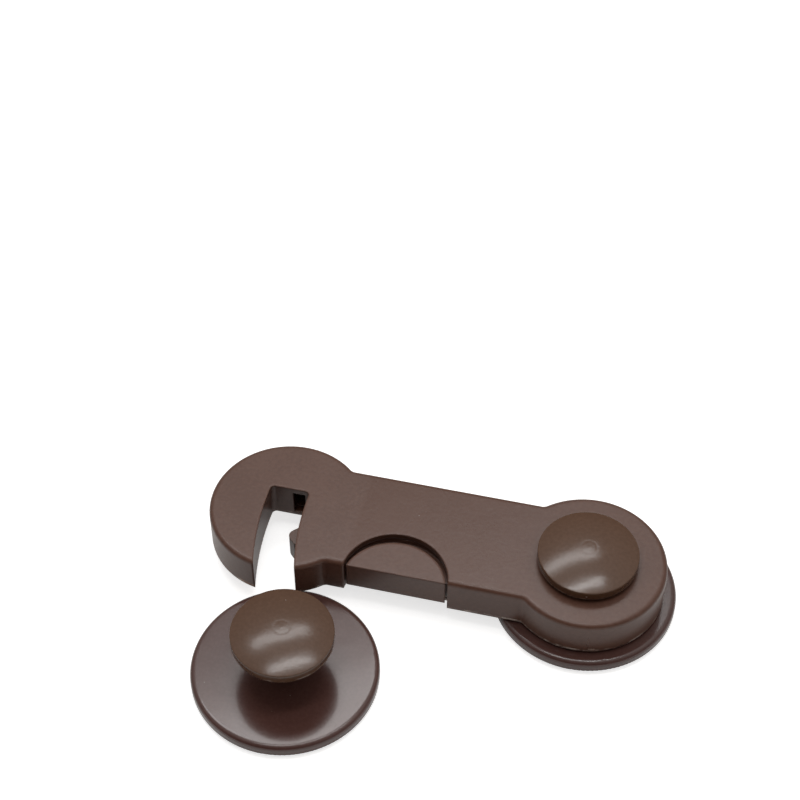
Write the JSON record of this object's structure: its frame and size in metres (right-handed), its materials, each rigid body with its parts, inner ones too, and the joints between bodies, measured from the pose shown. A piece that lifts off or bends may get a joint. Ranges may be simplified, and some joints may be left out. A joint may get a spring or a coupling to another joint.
{
  "type": "cabinet safety lock",
  "caption": "Stick-on child-safety cabinet lock: a swinging hook arm on a domed pivot base, a press button that draws back the latch bolt, and a separate mushroom-shaped strike.",
  "frame": {"origin": "on the pivot axis, in the underside of the pivot base's adhesive pad", "axes": "+Z away from the furniture along the pivot axis; the open arm lies along -X with the hook's mouth towards -Y, so X is the longest extent"},
  "size_m": [0.0907, 0.0651, 0.0159],
  "materials": {
    "arm_plastic": "chocolate-brown moulded plastic, fine satin grain",
    "disc_plastic": "chocolate-brown moulded plastic, polished",
    "cap_plastic": "darker, warmer brown moulded plastic, silky gloss",
    "bolt_plastic": "chocolate-brown moulded plastic",
    "adhesive_foam": "pale closed-cell foam tape",
    "screw_steel": "zinc-plated steel",
    "spring_steel": "drawn spring wire"
  },
  "bodies": {
    "bases": {"pivot_base": "disc_plastic", "pivot_cap": "cap_plastic", "pivot_pad": "adhesive_foam", "strike_base": "disc_plastic", "strike_cap": "cap_plastic", "strike_pad": "adhesive_foam", "cap_screws": "screw_steel"},
    "arm": {"arm_shell": "arm_plastic", "back_cover": "arm_plastic", "cover_screws": "screw_steel", "latch_spring": "spring_steel"},
    "button": {"press_button": "arm_plastic"},
    "bolt": {"latch_bolt": "bolt_plastic"}
  },
  "joints": [
    {"name": "arm_swing", "type": "hinge", "parent": "bases", "child": "arm", "pos_m": [0, 0, 0.008], "axis": [0, 0, 1], "range_deg": [-310, 30.7]},
    {"name": "button_press", "type": "slide", "parent": "arm", "child": "button", "axis": [0, 1, 0], "range_m": [0, 0.0012], "stiffness_N_per_m": 400},
    {"name": "bolt_slide", "type": "slide", "parent": "arm", "child": "bolt", "axis": [1, 0, 0], "range_m": [0, 0.002], "stiffness_N_per_m": 400, "deforming": ["latch_spring"]}
  ],
  "couplings": [
    {"joint": "bolt_slide", "follows": "button_press", "ratio": 1.6667}
  ]
}
